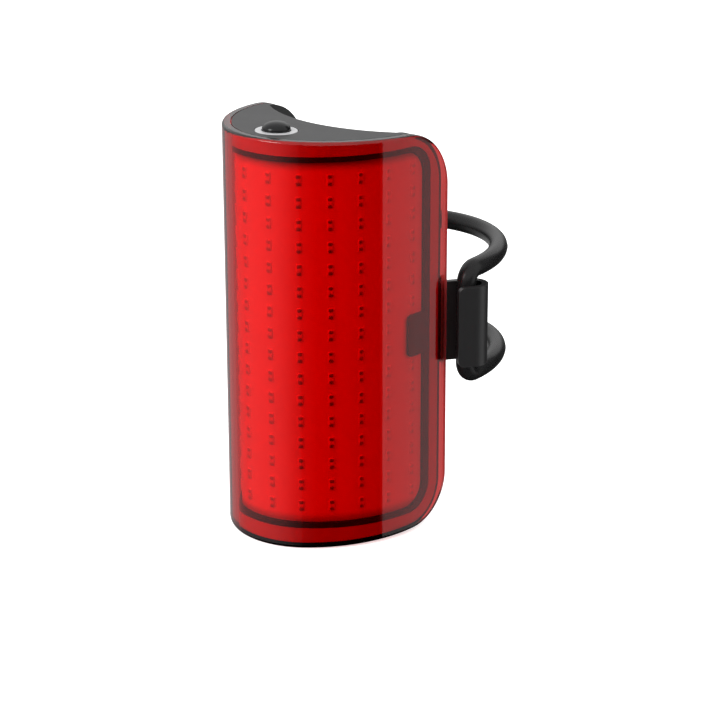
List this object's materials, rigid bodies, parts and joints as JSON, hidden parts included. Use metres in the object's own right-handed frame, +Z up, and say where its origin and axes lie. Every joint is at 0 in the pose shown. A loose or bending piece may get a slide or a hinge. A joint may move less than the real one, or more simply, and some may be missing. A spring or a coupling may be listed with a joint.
{
  "type": "bike light",
  "caption": "Rear bicycle light: translucent red wraparound lens over an LED panel, top push button, charging port flap and an elastic loop strap on a hooked post bracket.",
  "frame": {"origin": "on the seat post's axis, at the light's mid height, which is the middle of the rubber pad that grips the post", "axes": "+Z up along the seat post and the light's length, -Y the way the lens faces, +X to the right of someone who looks along +Y at the lens"},
  "size_m": [0.0572, 0.0708, 0.0917],
  "materials": {
    "lens_red": "clear red, high gloss",
    "bond_red": "clear red adhesive film",
    "housing_dark": "fine satin grain",
    "cover_dark": "fine satin grain",
    "bezel_dark": "matte",
    "panel_red": "bright red, semi gloss",
    "chip_dark": "dark red windows",
    "cap_black": "glossy black",
    "ring_clear": "frosted clear",
    "bracket_black": "satin black",
    "strap_rubber": "glossy black",
    "pad_rubber": "matte black",
    "flap_rubber": "matte black",
    "seal_rubber": "matte grey",
    "foam_grey": "open cell",
    "screw_steel": "zinc plated",
    "insert_brass": "turned",
    "port_metal": "drawn shell",
    "pin_metal": "plated",
    "board_green": "solder mask",
    "part_black": "moulded epoxy",
    "socket_white": "moulded",
    "switch_metal": "stamped",
    "led_white": "clear resin",
    "cell_foil": "pouch foil",
    "wire_red": "insulation",
    "ribbon_amber": "film"
  },
  "bodies": {
    "light": {"lens_cover": "lens_red", "lens_bond": "bond_red", "main_housing": "housing_dark", "back_cover": "cover_dark", "panel_bezel": "bezel_dark", "led_board": "panel_red", "led_chips": "chip_dark", "light_ring": "ring_clear", "strap_bracket": "bracket_black", "strap_loop": "strap_rubber", "cover_seal": "seal_rubber", "cover_screws": "screw_steel", "battery_cell": "cell_foil", "battery_foam": "foam_grey", "battery_leads": "wire_red", "main_board": "board_green", "board_parts": "part_black", "lead_socket": "socket_white", "flex_cable": "ribbon_amber", "flex_socket": "socket_white", "button_board": "board_green", "board_pins": "pin_metal", "switch_body": "switch_metal", "button_seal": "seal_rubber", "ring_leds": "led_white", "charge_port": "port_metal", "port_tongue": "part_black", "port_cover_root": "flap_rubber", "bracket_screws": "screw_steel", "bracket_inserts": "insert_brass", "post_pad": "pad_rubber"},
    "button": {"button_cap": "cap_black"},
    "plunger": {"switch_plunger": "part_black"},
    "flap": {"port_cover": "flap_rubber"}
  },
  "joints": [
    {"name": "button_press", "type": "slide", "parent": "light", "child": "button", "axis": [0, 0, -1], "range_m": [0, 0.0005], "stiffness_N_per_m": 600, "springref_m": -0.001},
    {"name": "plunger_press", "type": "slide", "parent": "light", "child": "plunger", "axis": [0, 0, -1], "range_m": [0, 0.0005]},
    {"name": "port_cover_hinge", "type": "hinge", "parent": "light", "child": "flap", "pos_m": [0, -0.0311, -0.0259], "axis": [1, 0, 0], "range_deg": [0, 110]}
  ],
  "couplings": [
    {"joint": "plunger_press", "follows": "button_press", "ratio": 1}
  ]
}
